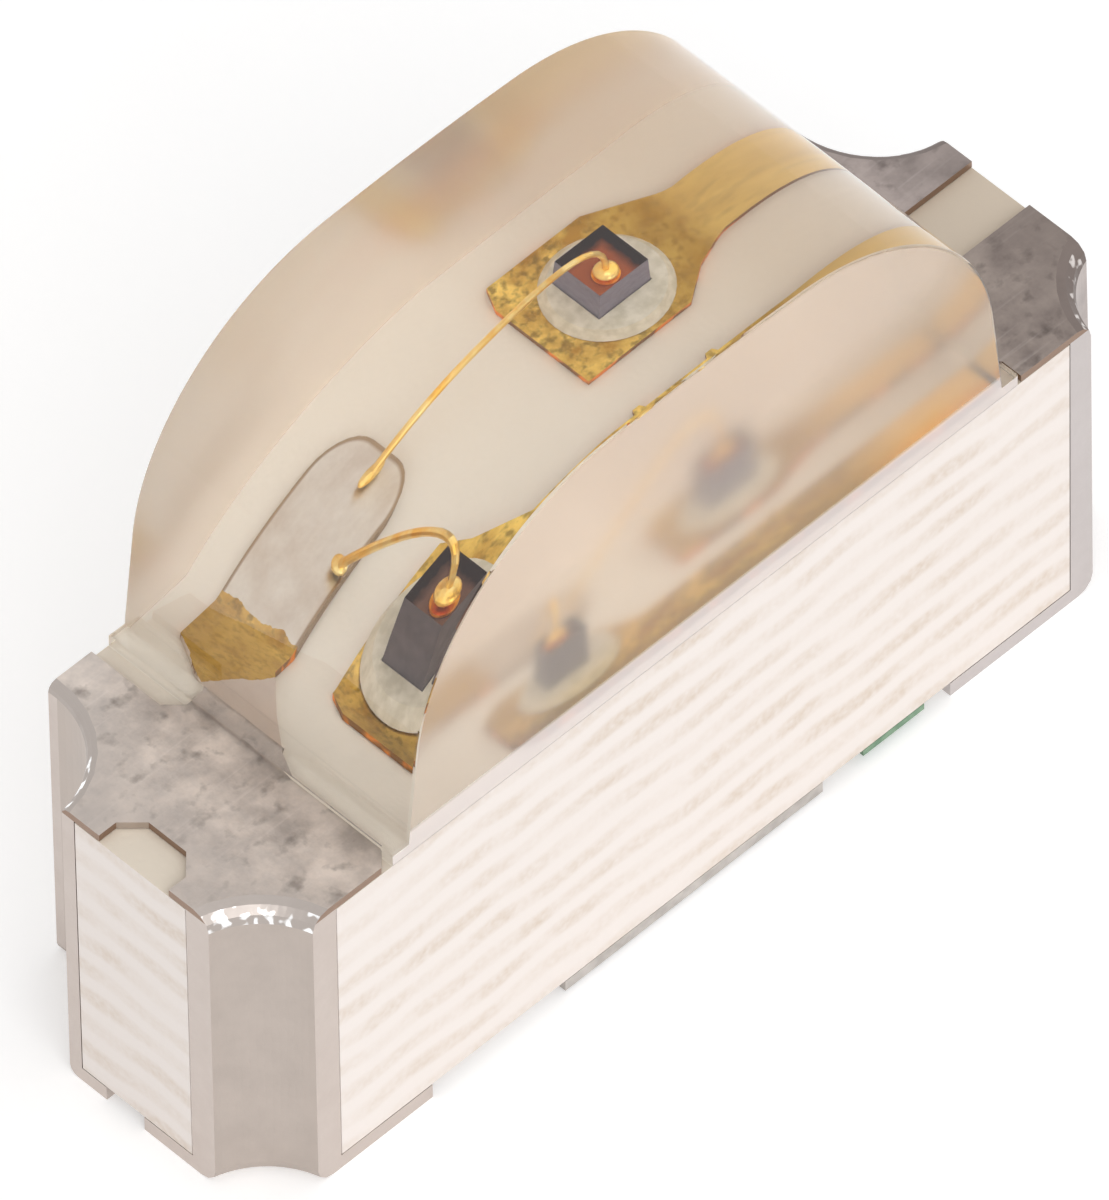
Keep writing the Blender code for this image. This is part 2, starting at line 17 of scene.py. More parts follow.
import bmesh
import bpy
from mathutils import Matrix, Vector

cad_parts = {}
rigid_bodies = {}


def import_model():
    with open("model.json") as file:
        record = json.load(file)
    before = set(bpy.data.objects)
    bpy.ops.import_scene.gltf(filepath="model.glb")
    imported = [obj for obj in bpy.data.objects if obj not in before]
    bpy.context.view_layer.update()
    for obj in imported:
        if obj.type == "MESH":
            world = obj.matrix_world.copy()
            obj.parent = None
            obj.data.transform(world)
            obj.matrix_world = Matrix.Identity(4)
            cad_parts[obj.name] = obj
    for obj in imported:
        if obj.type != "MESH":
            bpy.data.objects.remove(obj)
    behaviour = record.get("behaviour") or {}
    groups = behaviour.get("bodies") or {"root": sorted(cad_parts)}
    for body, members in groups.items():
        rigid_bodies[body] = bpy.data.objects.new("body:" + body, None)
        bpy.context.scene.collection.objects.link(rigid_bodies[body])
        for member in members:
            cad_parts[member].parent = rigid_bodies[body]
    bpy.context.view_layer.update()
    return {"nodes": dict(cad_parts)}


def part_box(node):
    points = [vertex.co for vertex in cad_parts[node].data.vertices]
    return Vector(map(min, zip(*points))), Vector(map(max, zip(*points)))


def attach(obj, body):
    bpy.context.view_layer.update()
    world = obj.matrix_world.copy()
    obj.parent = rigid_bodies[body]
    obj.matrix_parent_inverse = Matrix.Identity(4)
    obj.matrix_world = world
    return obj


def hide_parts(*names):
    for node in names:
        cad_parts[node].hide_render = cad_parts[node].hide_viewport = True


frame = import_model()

nodes = frame["nodes"]
MM = 0.001
print("nodes:", ", ".join(sorted(nodes)))

# %% [markdown]
# ## The camera
#
# A part this small is photographed from far away compared with its size, so the picture is
# almost without perspective. The camera stands 69 mm off with a very long lens. Its
# direction was found from the part's own edges: 44 degrees round from the front towards
# the left end and 50 degrees up. It is aimed a hair to one side, so that the part sits in
# the frame as in the photograph, and no lens shift is needed.

# %% Place the camera
IMAGE_WIDTH, IMAGE_HEIGHT = 1109, 1200
CAMERA_AZIMUTH, CAMERA_ELEVATION, CAMERA_ROLL = 44.17, 50.02, -0.75  # degrees
CAMERA_DISTANCE = 68.714 * MM
FOCAL_PIXELS = 28543.96
TARGET = Vector((0.0, 0.015, 0.9)) * MM
TARGET_PIXEL = (560.76, 532.63)  # where the target point lies in the picture
SENSOR = 36.0


def look(azimuth, elevation, roll):
    """Right, up and back directions of a camera that stands to the front and left."""
    a, e, r = (math.radians(v) for v in (azimuth, elevation, roll))
    back = Vector((-math.sin(a) * math.cos(e), -math.cos(a) * math.cos(e), math.sin(e)))
    right = (-back).cross(Vector((0, 0, 1))).normalized()
    up = right.cross(-back)
    return (right * math.cos(r) + up * math.sin(r), up * math.cos(r) - right * math.sin(r), back)


right, up, back = look(CAMERA_AZIMUTH, CAMERA_ELEVATION, CAMERA_ROLL)
place = TARGET + back * CAMERA_DISTANCE
aim = (-back + right * (IMAGE_WIDTH / 2 - TARGET_PIXEL[0]) / FOCAL_PIXELS
       - up * (IMAGE_HEIGHT / 2 - TARGET_PIXEL[1]) / FOCAL_PIXELS).normalized()
right = aim.cross(up).normalized()
up = right.cross(aim)
camera = bpy.data.objects.new("camera", bpy.data.cameras.new("camera"))
camera.matrix_world = Matrix.Translation(place) @ Matrix((right, up, -aim)).transposed().to_4x4()
camera.data.sensor_width = SENSOR
camera.data.lens = FOCAL_PIXELS * SENSOR / IMAGE_HEIGHT  # the sensor spans the longer side
camera.data.clip_start, camera.data.clip_end = 1 * MM, 500 * MM
bpy.context.scene.collection.objects.link(camera)
bpy.context.scene.camera = camera
print("camera lens in mm:", round(camera.data.lens, 1), "at", [round(c / MM, 2) for c in place])

# %% [markdown]
# ## Colours and nodes
#
# Colours are written as sRGB hex values, but a shader counts in linear light, so one
# function turns them. A second small function adds any node and sets its options, and a
# third fills its inputs, with numbers, colours or links. Patterns are laid out on Object
# coordinates, which are metres here, and a last one turns the real size of a grain or a
# thread into a texture scale.

# %% Small helpers
def linear(code):
    """An sRGB hex colour as the linear values that a shader takes."""
    parts = [int(code[i:i + 2], 16) / 255 for i in (1, 3, 5)]
    return [p / 12.92 if p <= 0.04045 else ((p + 0.055) / 1.055) ** 2.4 for p in parts] + [1.0]


def fill(tree, node, values):
    """Fill a node's inputs, by order or by name. Each value is a number, a colour, or the
    node or output that it comes from."""
    sockets = [s for s in node.inputs if s.enabled]
    for key, value in (values.items() if isinstance(values, dict) else enumerate(values)):
        socket = sockets[key] if isinstance(key, int) else next(s for s in sockets if s.name == key)
        if isinstance(value, bpy.types.Node):
            value = next(s for s in value.outputs if s.enabled)
        if isinstance(value, bpy.types.NodeSocket):
            tree.links.new(value, socket)
        elif value is not None:
            socket.default_value = value


def add(tree, kind, values=(), **settings):
    """Add one node. Settings are its options, and values go to its inputs."""
    made = tree.nodes.new(kind)
    for name, value in settings.items():
        setattr(made, name, value)
    fill(tree, made, values)
    return made


def per(size_mm):
    """Texture scale for a pattern whose grain is this many millimetres."""
    return 1.0 / (size_mm * MM)


def material(name):
    """An empty material: its node tree, its shader and the object coordinates."""
    mat = bpy.data.materials.new(name)
    mat.use_nodes = True
    tree = mat.node_tree
    return mat, tree, tree.nodes["Principled BSDF"], add(tree, "ShaderNodeTexCoord").outputs["Object"]


print("white as linear:", [round(c, 3) for c in linear("#F2E7E0")])

# %% [markdown]
# ## Floor, background and light
#
# Small parts are shot on a white sweep in soft light. The floor is a plain pale disc. It and
# the world show the camera, and what gloss and clear bodies mirror, a clean white, while
# the light that falls on the part stays at a plain level, so a colour renders about as it
# is written. The key lamp is a broad sun, which has no distance and so suits a part of any
# size, low to the front left, because the sawn sides are brighter than the top.

# %% Floor, world and lamps
FLOOR_RADIUS = 400 * MM
WORLD_LIGHT = 0.62
FLOOR_LIFT = 0.28


def seen(tree):
    """1 for a camera ray and for a ray that a glossy or clear surface sends on, else 0."""
    path = add(tree, "ShaderNodeLightPath")
    first = add(tree, "ShaderNodeMath", [path.outputs["Is Camera Ray"], path.outputs["Is Glossy Ray"]],
                operation="MAXIMUM")
    return add(tree, "ShaderNodeMath", [first, path.outputs["Is Transmission Ray"]], operation="MAXIMUM")


world = bpy.data.worlds.new("white_sweep")
world.use_nodes = True
bpy.context.scene.world = world
sky = world.node_tree
lit = add(sky, "ShaderNodeBackground", {"Color": linear("#FFFFFF"), "Strength": WORLD_LIGHT})
shown = add(sky, "ShaderNodeBackground", {"Color": linear("#FFFFFF"), "Strength": 1.0})
mixed = add(sky, "ShaderNodeMixShader", [seen(sky), lit, shown])
sky.links.new(mixed.outputs[0], sky.nodes["World Output"].inputs["Surface"])

bm = bmesh.new()
bmesh.ops.create_circle(bm, cap_ends=True, radius=FLOOR_RADIUS, segments=96)
mesh = bpy.data.meshes.new("floor")
bm.to_mesh(mesh)
bm.free()
floor = bpy.data.objects.new("floor", mesh)
bpy.context.scene.collection.objects.link(floor)
paper, tree, shader, _ = material("matt white paper")
shader.inputs["Base Color"].default_value = linear("#F4F4F4")
shader.inputs["Roughness"].default_value = 1.0
shader.inputs["Specular IOR Level"].default_value = 0.0
lift = add(tree, "ShaderNodeMath", [seen(tree), FLOOR_LIFT], operation="MULTIPLY")
glow = add(tree, "ShaderNodeEmission", {"Color": linear("#FFFFFF"), "Strength": lift})
both = add(tree, "ShaderNodeAddShader", [shader, glow])
tree.links.new(both.outputs[0], tree.nodes["Material Output"].inputs["Surface"])
mesh.materials.append(paper)

for name, azimuth, elevation, strength, spread in (("key", 28, 34, 1.0, 50), ("fill", -60, 50, 0.35, 80)):
    lamp = bpy.data.objects.new(name, bpy.data.lights.new(name, "SUN"))
    lamp.data.energy = strength
    lamp.data.angle = math.radians(spread)
    lamp.matrix_world = Matrix(look(azimuth, elevation, 0)).transposed().to_4x4()
    bpy.context.scene.collection.objects.link(lamp)
    print(f"lamp {name}: strength {strength}, {spread} degrees wide")

bpy.context.scene.view_settings.view_transform = "Standard"

# %% [markdown]
# ## The laminate board
#
# The board is white glass-cloth laminate, about nine plies in 0.93 mm, cut with a diamond
# saw. Where the saw passes through the cloth, each ply shows a row of lens-shaped yarn ends
# in a warmer tone than the resin between them, staggered from row to row. The eye reads
# that as soft broken stripes. Two cosines give it: one along the side, half a yarn out in
# every second row, and one up the side, which is nothing at the border between two rows, so
# the stagger leaves no step. Noise bends the rows and fades some of them. The top face is
# moulded, not sawn: plain cream resin, painted whiter under the lens to make up for the lamps'
# light that the lens holds back, and there painted darker towards the right as shade.
# The relief comes from the fine grain alone. A bump reads its height three more times at each
# hit, so a cheap height keeps the render short.

# %% The laminate's material
PLY = 0.102          # mm from one ply to the next
YARN = 0.41          # mm from one yarn to the next, along the side
WANDER = (0.45 * MM, 0.45 * MM, 0.07 * MM)  # how far the noise shifts the rows
LENS_REACH, FLASH_REACH = 1.0 * MM, 1.06 * MM
RESIN_WHITE, YARN_TONE = linear("#F8EFE9"), linear("#E4D4C5")
NOTCH_TONE, BAND_TONE = linear("#E8DCCB"), linear("#D5C6B3")
COVERED_LIT_LEFT, COVERED_SHADED_RIGHT = linear("#FFF7E8"), linear("#F2E1CA")

laminate, tree, shader, where = material("white glass-cloth laminate, sawn")
bend = add(tree, "ShaderNodeTexNoise", {"Vector": where, "Scale": per(0.30), "Detail": 1.0})
shift = add(tree, "ShaderNodeVectorMath", [bend.outputs["Color"], (0.5, 0.5, 0.5)], operation="SUBTRACT")
bent = add(tree, "ShaderNodeVectorMath", [shift, WANDER, where], operation="MULTIPLY_ADD")
place_on = add(tree, "ShaderNodeSeparateXYZ", [bent])
run = add(tree, "ShaderNodeMath", [place_on.outputs["X"], place_on.outputs["Y"]], operation="ADD")
along = add(tree, "ShaderNodeMath", [run, per(YARN)], operation="MULTIPLY")
upward = add(tree, "ShaderNodeMath", [place_on.outputs["Z"], per(PLY)], operation="MULTIPLY")
row = add(tree, "ShaderNodeMath", [upward], operation="FLOOR")
half = add(tree, "ShaderNodeMath", [row, 0.5], operation="MULTIPLY")
step = add(tree, "ShaderNodeMath", [along, half], operation="ADD")
turn = add(tree, "ShaderNodeMath", [step, math.tau], operation="MULTIPLY")
wave = add(tree, "ShaderNodeMath", [turn], operation="COSINE")
yarns = add(tree, "ShaderNodeMapRange", {"Value": wave, "From Min": -1.0, "From Max": 1.0},
            interpolation_type="SMOOTHSTEP")
part_up = add(tree, "ShaderNodeMath", [upward], operation="FRACT")
rise = add(tree, "ShaderNodeMath", [part_up, math.pi], operation="MULTIPLY")
swell = add(tree, "ShaderNodeMath", [rise], operation="SINE")
plies = add(tree, "ShaderNodeMapRange", {"Value": swell, "From Min": 0.40, "From Max": 1.0},
            interpolation_type="SMOOTHSTEP")
weave = add(tree, "ShaderNodeMath", [yarns, 0.5, 0.4], operation="MULTIPLY_ADD")
cloth = add(tree, "ShaderNodeMath", [weave, plies], operation="MULTIPLY")
fade = add(tree, "ShaderNodeTexNoise", {"Vector": where, "Scale": per(0.45), "Detail": 1.0})
seen_rows = add(tree, "ShaderNodeMapRange", {"Value": fade, "From Min": 0.30, "From Max": 0.65,
                                             "To Min": 0.35, "To Max": 1.0})
cloth = add(tree, "ShaderNodeMath", [cloth, seen_rows], operation="MULTIPLY")
grain = add(tree, "ShaderNodeTexNoise", {"Vector": where, "Scale": per(0.02), "Detail": 1.0})
tone = add(tree, "ShaderNodeMath", [cloth, grain], operation="MULTIPLY")
tone = add(tree, "ShaderNodeMath", [tone, 1.6], operation="MULTIPLY", use_clamp=True)
sawn = add(tree, "ShaderNodeMix", {"Factor": tone, "A": RESIN_WHITE, "B": YARN_TONE}, data_type="RGBA")

# %% The laminate's top face
axes = add(tree, "ShaderNodeSeparateXYZ", [where])
off = add(tree, "ShaderNodeMath", [axes.outputs["X"]], operation="ABSOLUTE")
inside = add(tree, "ShaderNodeMath", [off, FLASH_REACH], operation="LESS_THAN")
right_end = add(tree, "ShaderNodeMath", [axes.outputs["X"], 0.0], operation="GREATER_THAN")
open_tone = add(tree, "ShaderNodeMix", {"Factor": right_end, "A": NOTCH_TONE, "B": BAND_TONE}, data_type="RGBA")
# under the lens: painted light that makes the top whitest at the left, and painted shade that darkens it to the right
painted_shade_to_right = add(tree, "ShaderNodeMapRange", {"Value": axes.outputs["X"], "From Min": -0.3 * MM,
                                             "From Max": 0.7 * MM})
covered = add(tree, "ShaderNodeMix", {"Factor": painted_shade_to_right, "A": COVERED_LIT_LEFT, "B": COVERED_SHADED_RIGHT}, data_type="RGBA")
top = add(tree, "ShaderNodeMix", {"Factor": inside, "A": open_tone, "B": covered}, data_type="RGBA")
facing = add(tree, "ShaderNodeSeparateXYZ", [add(tree, "ShaderNodeNewGeometry").outputs["Normal"]])
level = add(tree, "ShaderNodeMath", [facing.outputs["Z"], 0.5], operation="GREATER_THAN")
colour = add(tree, "ShaderNodeMix", {"Factor": level, "A": sawn, "B": top}, data_type="RGBA")
depth = add(tree, "ShaderNodeBump", {"Strength": 0.5, "Distance": 0.002 * MM, "Height": grain})
fill(tree, shader, {"Base Color": colour, "Roughness": 0.62, "IOR": 1.52, "Normal": depth})
nodes["board"].data.materials.clear()
nodes["board"].data.materials.append(laminate)
print("laminate: a ply every", PLY, "mm, a yarn every", YARN, "mm")

# %% [markdown]
# ## Tin and gold on the conductors
#
# One etched and plated copper conductor is soldered outside the lens and bonded to under
# it. Outside it carries dull tin. The flat lands are scuffed and pitted from handling, the
# plated walls of the drilled corners are smooth and paler, the sawn ends of the plating are
# palest, and the burr round each hole carries a painted shade and bright specks of painted
# highlight. Under the lens the gold is untouched. Its etched sides are raw copper and look
# brown, with painted orange glints scattered over them. All of it is metal, so the base colour
# is what it mirrors, and roughness says how sharply.
#
# The finish depends on where a point lies and which way its face looks, so the material
# reads the position and the normal, and every border is a number in millimetres.

# %% Borders between the finishes
FOIL_LOW = 0.97 * MM     # the foil on the top face lies above this height
FLAT, UPRIGHT, BURR_TILT = 0.985, 0.15, 0.85   # how far up a normal points: lands more, walls less, specks
COPPER_EDGE, BURR_DROP = 0.013 * MM, 0.03 * MM  # above and below the foil's level
NEAR_FRONT_CUT = 0.26 * MM                      # nearer than this, the front saw cut left specks
DARK_ENDS_START, DARK_ENDS_END = 1.20 * MM, 1.45 * MM
WIRE_PAD_START, WIRE_PAD_END = -0.500 * MM, -0.160 * MM
WIRE_PAD_MIDDLE, WIRE_PAD_HALF = 0.240 * MM, 0.128 * MM
WIRE_PAD_CORNER, WIRE_PAD_RIM = 0.085 * MM, 0.010 * MM
# The neck's gold lies on the positive side of these lines: (direction x, y) and distance in mm.
NECK_LINES = ((0.411, 0.912, -0.191), (0.649, -0.761, -0.811))


# %% Tin, on lands, walls and rims
def tin_finish(tree, where, facing, axes, land, wall):
    """Colour of the tin outside the lens, and how much of a point is a burr with a painted glint."""
    cloud = add(tree, "ShaderNodeTexNoise", {"Vector": where, "Scale": per(0.11), "Detail": 4.0,
                                             "Roughness": 0.62})
    patch = add(tree, "ShaderNodeMapRange", {"Value": cloud, "From Min": 0.32, "From Max": 0.68})
    flat = add(tree, "ShaderNodeMath", [facing.outputs["Z"], FLAT], operation="GREATER_THAN")
    lands = add(tree, "ShaderNodeMix", {"Factor": patch, "A": linear(land[0]), "B": linear(land[1])},
                data_type="RGBA")
    walls = add(tree, "ShaderNodeMix", {"Factor": patch, "A": linear(wall[0]), "B": linear(wall[1])},
                data_type="RGBA")
    # scratches run slantwise over the lands: noise stretched to hairs 0.25 mm long
    turned = add(tree, "ShaderNodeMapping", {"Vector": where, "Rotation": (0, 0, math.radians(28)),
                                             "Scale": (per(0.25), per(0.011), per(0.05))})
    hairs = add(tree, "ShaderNodeTexNoise", {"Vector": turned, "Scale": 1.0, "Detail": 1.0})
    scratch = add(tree, "ShaderNodeMapRange", {"Value": hairs, "From Min": 0.58, "From Max": 0.80, "To Max": 0.20})
    lands = add(tree, "ShaderNodeMix", {"Factor": scratch, "A": lands, "B": linear(land[2])}, data_type="RGBA")
    spots = add(tree, "ShaderNodeTexNoise", {"Vector": where, "Scale": per(0.050), "Detail": 3.0})
    pits = add(tree, "ShaderNodeMapRange", {"Value": spots, "From Min": 0.56, "From Max": 0.76, "To Max": 0.75})
    lands = add(tree, "ShaderNodeMix", {"Factor": pits, "A": lands, "B": linear(land[3])}, data_type="RGBA")
    # a sawn end of the plating looks straight along X or Y
    ends = add(tree, "ShaderNodeVectorMath", [add(tree, "ShaderNodeNewGeometry").outputs["Normal"]],
               operation="ABSOLUTE")
    ends = add(tree, "ShaderNodeSeparateXYZ", [ends])
    straight = add(tree, "ShaderNodeMath", [ends.outputs["X"], ends.outputs["Y"]], operation="MAXIMUM")
    sawn = add(tree, "ShaderNodeMath", [straight, 0.999], operation="GREATER_THAN")
    walls = add(tree, "ShaderNodeMix", {"Factor": sawn, "A": walls, "B": linear(wall[2])}, data_type="RGBA")
    # the lands turn darker and greyer towards their outer ends
    off = add(tree, "ShaderNodeMath", [axes.outputs["X"]], operation="ABSOLUTE")
    darker_to_ends = add(tree, "ShaderNodeMapRange", {"Value": off, "From Min": DARK_ENDS_START, "From Max": DARK_ENDS_END,
                                               "To Max": 0.55})
    lands = add(tree, "ShaderNodeMix", {"Factor": darker_to_ends, "A": lands, "B": linear(land[0])}, data_type="RGBA")
    tin = add(tree, "ShaderNodeMix", {"Factor": flat, "A": walls, "B": lands}, data_type="RGBA")
    # the foil's etched or sawn edge shows the copper under the tin
    high = add(tree, "ShaderNodeMath", [axes.outputs["Z"], FOIL_LOW + COPPER_EDGE], operation="GREATER_THAN")
    copper = add(tree, "ShaderNodeMath", [high, sawn], operation="MULTIPLY")
    tin = add(tree, "ShaderNodeMix", {"Factor": copper, "A": tin, "B": linear("#9C8474")}, data_type="RGBA")
    # the burr: tilted faces at the top of a hole get a painted shade in the land's dark tone, and on
    # the steep lower half, where the front saw cut went through, painted highlights in bright specks
    tilted = add(tree, "ShaderNodeMath", [facing.outputs["Z"], UPRIGHT], operation="GREATER_THAN")
    edge = add(tree, "ShaderNodeMath", [tilted, flat], operation="SUBTRACT")
    high = add(tree, "ShaderNodeMath", [axes.outputs["Z"], FOIL_LOW - BURR_DROP], operation="GREATER_THAN")
    edge = add(tree, "ShaderNodeMath", [edge, high], operation="MULTIPLY")
    steep = add(tree, "ShaderNodeMath", [facing.outputs["Z"], BURR_TILT], operation="LESS_THAN")
    steep = add(tree, "ShaderNodeMath", [edge, steep], operation="MULTIPLY")
    forward = add(tree, "ShaderNodeMath", [axes.outputs["Y"], NEAR_FRONT_CUT], operation="LESS_THAN")
    steep = add(tree, "ShaderNodeMath", [steep, forward], operation="MULTIPLY")
    flecks = add(tree, "ShaderNodeTexNoise", {"Vector": where, "Scale": per(0.032), "Detail": 1.0})
    flecks = add(tree, "ShaderNodeMapRange", {"Value": flecks, "From Min": 0.55, "From Max": 0.62})
    burr = add(tree, "ShaderNodeMath", [steep, flecks], operation="MULTIPLY")
    shade = add(tree, "ShaderNodeMix", {"Factor": edge, "A": tin, "B": linear(land[0])}, data_type="RGBA")
    tin = add(tree, "ShaderNodeMix", {"Factor": burr, "A": shade, "B": linear(land[4])}, data_type="RGBA")
    return tin, burr, spots, patch, flat


# %% Gold, under the lens
def gold_finish(tree, where, flat, axes):
    """Colour of the gold: mottled and olive, dull on the neck, with a painted highlight at the right end, painted
    shade and orange glow along the front edge, and painted orange glints on the etched sides.
    """
    film = add(tree, "ShaderNodeTexNoise", {"Vector": where, "Scale": per(0.10), "Detail": 4.0, "Roughness": 0.6})
    warm = add(tree, "ShaderNodeMapRange", {"Value": film, "From Min": 0.36, "From Max": 0.64})
    gold = add(tree, "ShaderNodeMix", {"Factor": warm, "A": linear("#BC8A30"), "B": linear("#FFDA70")},
               data_type="RGBA")
    freckles = add(tree, "ShaderNodeTexNoise", {"Vector": where, "Scale": per(0.022), "Detail": 2.0})
    freckled = add(tree, "ShaderNodeMapRange", {"Value": freckles, "From Min": 0.48, "From Max": 0.66,
                                                "To Max": 0.75})
    gold = add(tree, "ShaderNodeMix", {"Factor": freckled, "A": gold, "B": linear("#8C6C2A")}, data_type="RGBA")
    neck = add(tree, "ShaderNodeMapRange", {"Value": axes.outputs["X"], "From Min": -0.45 * MM,
                                            "From Max": -0.60 * MM, "To Max": 0.75})
    gold = add(tree, "ShaderNodeMix", {"Factor": neck, "A": gold, "B": linear("#CBA75A")}, data_type="RGBA")
    olive = add(tree, "ShaderNodeMapRange", {"Value": axes.outputs["X"], "From Min": 0.30 * MM,
                                             "From Max": 0.44 * MM, "To Max": 0.7})
    gold = add(tree, "ShaderNodeMix", {"Factor": olive, "A": gold, "B": linear("#B0842C")}, data_type="RGBA")
    # towards the right end the gold turns pale: a painted highlight
    end = add(tree, "ShaderNodeMapRange", {"Value": axes.outputs["X"], "From Min": 0.54 * MM, "From Max": 0.74 * MM})
    gold = add(tree, "ShaderNodeMix", {"Factor": end, "A": gold, "B": linear("#FFD98A")}, data_type="RGBA")
    # along the front edge the gold is painted darker as shade, rising to a painted orange glow at the right end
    forward = add(tree, "ShaderNodeMapRange", {"Value": axes.outputs["Y"], "From Min": -0.30 * MM,
                                               "From Max": -0.37 * MM, "To Max": 0.85})
    lit = add(tree, "ShaderNodeMix", {"Factor": end, "A": linear("#A07A34"), "B": linear("#FFBC48")},
              data_type="RGBA")
    gold = add(tree, "ShaderNodeMix", {"Factor": forward, "A": gold, "B": lit}, data_type="RGBA")
    # the etched sides: brown copper with painted orange glints laid out by noise
    glints = add(tree, "ShaderNodeTexNoise", {"Vector": where, "Scale": per(0.07), "Detail": 2.0})
    painted_glint = add(tree, "ShaderNodeMapRange", {"Value": glints, "From Min": 0.48, "From Max": 0.60})
    side = add(tree, "ShaderNodeMix", {"Factor": painted_glint, "A": linear("#9A6C34"), "B": linear("#FFA238")},
               data_type="RGBA")
    return add(tree, "ShaderNodeMix", {"Factor": flat, "A": side, "B": gold}, data_type="RGBA"), film


# %% The pale wire pad and the tinned part of the neck
def wire_pad_finish(tree, gold, film, patch, where, axes, land):
    """The end of the common conductor: a pale pad that the wires are stitched to, with a thin
    brown outline and a ragged start, and a neck whose lower part is tinned."""
    pale = add(tree, "ShaderNodeMix", {"Factor": patch, "A": linear("#D6CABC"), "B": linear("#F0EAE0")},
               data_type="RGBA")
    corner = (WIRE_PAD_END - WIRE_PAD_CORNER, WIRE_PAD_MIDDLE, 0)
    spread = add(tree, "ShaderNodeVectorMath", [where, corner], operation="SUBTRACT")
    parts = add(tree, "ShaderNodeSeparateXYZ", [spread])
    ahead = add(tree, "ShaderNodeMath", [parts.outputs["X"], 0.0], operation="MAXIMUM")
    wide = add(tree, "ShaderNodeMath", [parts.outputs["Y"]], operation="ABSOLUTE")
    wide = add(tree, "ShaderNodeMath", [wide, WIRE_PAD_HALF - WIRE_PAD_CORNER], operation="SUBTRACT")
    wide = add(tree, "ShaderNodeMath", [wide, 0.0], operation="MAXIMUM")
    away = add(tree, "ShaderNodeVectorMath", [add(tree, "ShaderNodeCombineXYZ", [ahead, wide, 0.0])],
               operation="LENGTH")
    rim = add(tree, "ShaderNodeMapRange", {"Value": away.outputs["Value"], "From Min": WIRE_PAD_CORNER - WIRE_PAD_RIM,
                                           "From Max": WIRE_PAD_CORNER - WIRE_PAD_RIM / 2, "To Max": 0.8})
    pale = add(tree, "ShaderNodeMix", {"Factor": rim, "A": pale, "B": linear("#A08058")}, data_type="RGBA")
    ragged = add(tree, "ShaderNodeMath", [film, 0.09 * MM, axes.outputs["X"]], operation="MULTIPLY_ADD")
    start = add(tree, "ShaderNodeMath", [ragged, WIRE_PAD_START + 0.045 * MM], operation="GREATER_THAN")
    for x, y, distance in NECK_LINES:
        along = add(tree, "ShaderNodeVectorMath", [where, (x, y, 0)], operation="DOT_PRODUCT")
        wavy = add(tree, "ShaderNodeMath", [film, 0.05 * MM, along.outputs["Value"]], operation="MULTIPLY_ADD")
        kept = add(tree, "ShaderNodeMath", [wavy, (distance + 0.025) * MM], operation="GREATER_THAN")
        gold = add(tree, "ShaderNodeMix", {"Factor": kept, "A": linear(land[1]), "B": gold}, data_type="RGBA")
    return add(tree, "ShaderNodeMix", {"Factor": start, "A": gold, "B": pale}, data_type="RGBA")


# %% Conductor materials
def conductor(name, land, wall, wire_pad=False):
    """Tin outside the lens and gold under it. Land tones: dark (also the rim's painted shade), pale, scratch, pit,
    painted glint. Wall tones: dark, pale, sawn end."""
    mat, tree, shader, where = material(name)
    axes = add(tree, "ShaderNodeSeparateXYZ", [where])
    facing = add(tree, "ShaderNodeSeparateXYZ", [add(tree, "ShaderNodeNewGeometry").outputs["Normal"]])
    tin, burr, pitted, patch, flat = tin_finish(tree, where, facing, axes, land, wall)
    gold, film = gold_finish(tree, where, flat, axes)
    if wire_pad:
        gold = wire_pad_finish(tree, gold, film, patch, where, axes, land)
    out = add(tree, "ShaderNodeMath", [axes.outputs["X"]], operation="ABSOLUTE")
    under = add(tree, "ShaderNodeMath", [axes.outputs["Z"], FOIL_LOW], operation="LESS_THAN")
    reach = add(tree, "ShaderNodeMath", [out, LENS_REACH], operation="GREATER_THAN")
    outside = add(tree, "ShaderNodeMath", [reach, under], operation="MAXIMUM")
    colour = add(tree, "ShaderNodeMix", {"Factor": outside, "A": gold, "B": tin}, data_type="RGBA")
    rough = add(tree, "ShaderNodeMapRange", {"Value": patch, "To Min": 0.38, "To Max": 0.56})
    bright = add(tree, "ShaderNodeMapRange", {"Value": burr, "To Min": 1.0, "To Max": 0.5})
    rough = add(tree, "ShaderNodeMath", [rough, bright], operation="MULTIPLY")
    bump = add(tree, "ShaderNodeBump", {"Strength": 0.4, "Distance": 0.005 * MM, "Height": pitted})
    fill(tree, shader, {"Base Color": colour, "Roughness": rough, "Metallic": 1.0, "Normal": bump})
    return mat


# the back and front pads tilt slightly, so their tin is painted darker and greyer than the left pad's: a painted
# shade
PALE_WALL, GREY_WALL_SHADED = ("#B9AEA6", "#C4B9B1", "#CCC1BA"), ("#A59B97", "#C4BBB7", "#CBC4C2")
PALE_LAND = ("#B3AAA4", "#E2D6CC", "#EFE6DF", "#857C76", "#FFFFFF")
BACK_LAND_SHADED = ("#847A76", "#B6AAA5", "#C9C0BC", "#5E5552", "#B8B0AC")
FRONT_LAND_SHADED = ("#7C716C", "#A3978F", "#C0B7B2", "#544B48", "#CFC8C4")
for node, mat in (
        ("common_terminal", conductor("dull tin and gold, pale wire pad", PALE_LAND, PALE_WALL, True)),
        ("back_terminal", conductor("tin and gold, painted darker as shade, back", BACK_LAND_SHADED, GREY_WALL_SHADED)),
        ("front_terminal", conductor("tin and gold, painted darker as shade, front", FRONT_LAND_SHADED, GREY_WALL_SHADED))):
    nodes[node].data.materials.clear()
    nodes[node].data.materials.append(mat)
    print(node, "is", mat.name)
